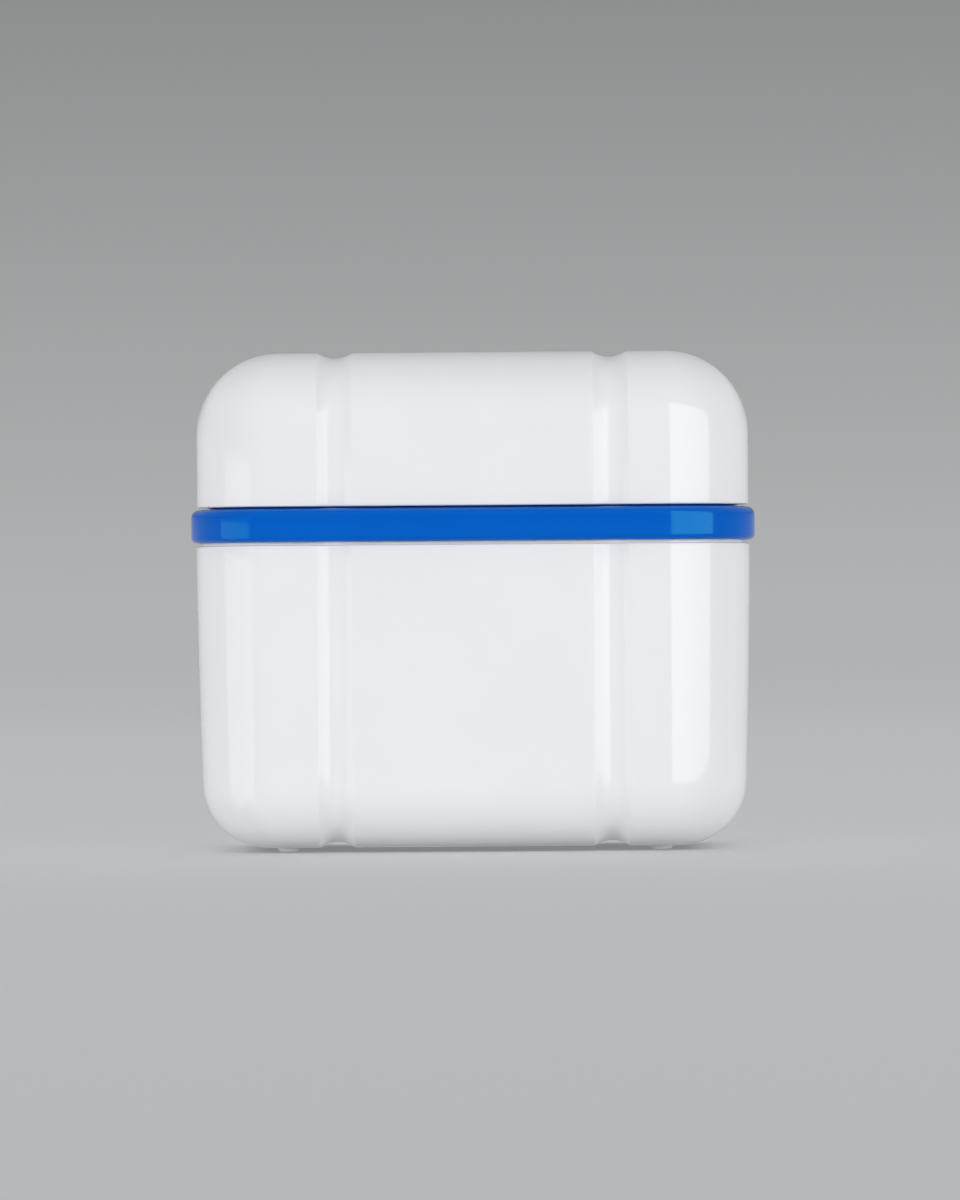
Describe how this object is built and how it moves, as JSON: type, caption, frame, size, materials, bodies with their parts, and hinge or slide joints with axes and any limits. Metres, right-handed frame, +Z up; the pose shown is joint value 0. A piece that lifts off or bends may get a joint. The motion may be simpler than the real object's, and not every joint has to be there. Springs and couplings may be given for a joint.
{
  "type": "mouthguard with case",
  "caption": "Upright mouthguard case with a white grooved tub and lid, a blue middle frame with drain basket, and a two-layer mouthguard inside.",
  "frame": {"origin": "on the floor under the middle of the whole object, hinge included", "axes": "+Z up out of the lid, +X to the right seen from the front, the front face towards -Y and the hinge towards +Y"},
  "size_m": [0.0866, 0.0488, 0.0766],
  "materials": {
    "white_plastic": "glossy moulded white plastic with faint wear marks",
    "foot_plastic": "satin white plastic",
    "blue_plastic": "glossy saturated blue plastic",
    "basket_plastic": "semi-gloss blue plastic",
    "silicone": "matte translucent silicone",
    "pin_steel": "drawn steel wire",
    "guard_shell": "satin blue moulded elastomer",
    "guard_liner": "milky soft gel liner"
  },
  "bodies": {
    "base": {"base_shell": "white_plastic", "foot_front_left": "foot_plastic", "foot_front_right": "foot_plastic", "foot_rear_left": "foot_plastic", "foot_rear_right": "foot_plastic"},
    "tray": {"middle_frame": "blue_plastic", "drain_basket": "basket_plastic", "base_gasket": "silicone", "lid_gasket": "silicone", "hinge_pin": "pin_steel"},
    "lid": {"lid_shell": "white_plastic"},
    "mouthguard": {"mouthguard_shell": "guard_shell", "mouthguard_liner": "guard_liner"}
  },
  "joints": [
    {"name": "tray_lift", "type": "slide", "parent": "base", "child": "tray", "axis": [0, 0, 1], "range_m": [0, 0.05]},
    {"name": "lid_hinge", "type": "hinge", "parent": "tray", "child": "lid", "pos_m": [0, 0.02258, 0.05265], "axis": [-1, 0, 0], "range_deg": [0, 115]},
    {"name": "mouthguard_lift", "type": "slide", "parent": "tray", "child": "mouthguard", "axis": [0, 0, 1], "range_m": [0, 0.016]}
  ]
}
